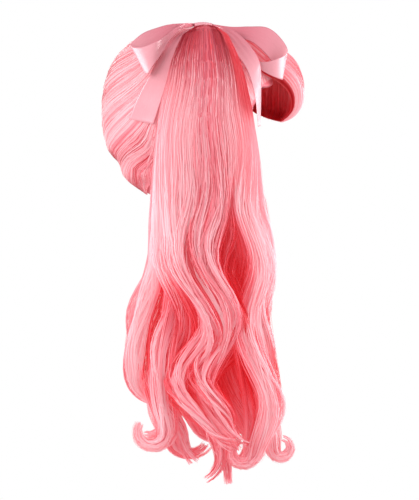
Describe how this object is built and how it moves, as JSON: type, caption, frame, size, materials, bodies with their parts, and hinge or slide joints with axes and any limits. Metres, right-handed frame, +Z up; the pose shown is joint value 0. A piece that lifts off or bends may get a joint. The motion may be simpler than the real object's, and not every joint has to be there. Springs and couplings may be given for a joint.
{
  "type": "ponytail wig",
  "caption": "Hair piece worn on the head: hollow crown combed up to a tie, swept fringe, long waved ponytail over one side, and a satin ribbon bow at the tie.",
  "frame": {"origin": "where the top of the wearer's head meets the inside of the crown", "axes": "+Z up, +X to the wearer's front, +Y to the wearer's left; the tail hangs on the wearer's right, at -Y"},
  "size_m": [0.2576, 0.247, 0.5581],
  "materials": {
    "hair": "glossy synthetic hair, pink with redder depths",
    "satin": "pale pink satin ribbon with a soft sheen",
    "elastic": "matt wound elastic cord"
  },
  "bodies": {
    "root": {"crown": "hair", "fringe": "hair", "tail": "hair", "tie_band": "elastic", "bow_knot": "satin", "bow_loop_back": "satin", "bow_loop_front": "satin", "bow_tail_back": "satin", "bow_tail_front": "satin"}
  },
  "joints": []
}
